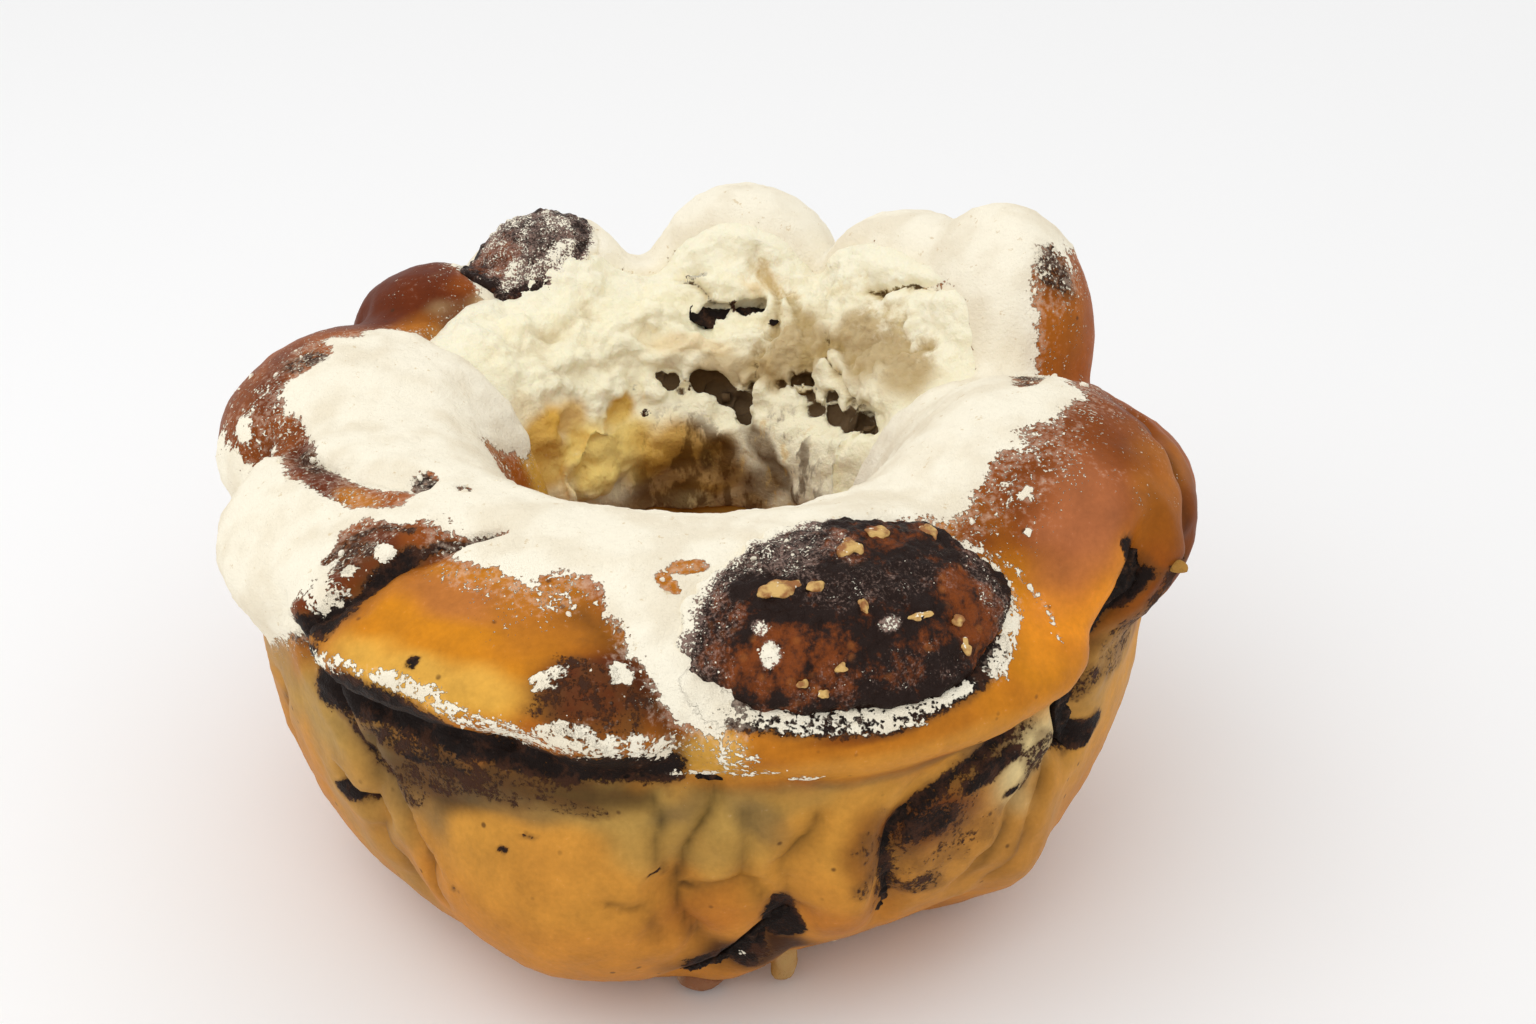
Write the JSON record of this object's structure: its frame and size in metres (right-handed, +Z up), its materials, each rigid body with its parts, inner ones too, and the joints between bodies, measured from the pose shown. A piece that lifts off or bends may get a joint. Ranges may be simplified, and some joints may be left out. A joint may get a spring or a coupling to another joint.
{
  "type": "chocolate babka bundt cake",
  "caption": "Whole chocolate babka baked in a ring pan: twisted sweet dough with a centre hole, chocolate filling in the seams and an icing sugar dusting; rests flat.",
  "frame": {"origin": "middle of the cake's outline on the flat base, close to the axis of the hole", "axes": "+Z up along the hole, -Y towards the front with the bare chocolate patch, +X to the right of it"},
  "size_m": [0.2484, 0.2326, 0.1475],
  "materials": {
    "dough": "baked sweet dough, golden to brown with a soft sheen, dusted with icing sugar",
    "filling": "dark chocolate filling, moist and slightly glossy",
    "chocolate": "bare baked chocolate, rough and cracked, with chopped bits and a little icing sugar",
    "sugar": "icing sugar, dull and powdery"
  },
  "bodies": {
    "root": {"babka_dough": "dough", "chocolate_front": "chocolate", "chocolate_back_left": "chocolate", "filling_front_left": "filling", "filling_front_right": "filling", "filling_right": "filling", "filling_base": "filling", "filling_back": "filling", "filling_back_left": "filling"}
  },
  "joints": []
}
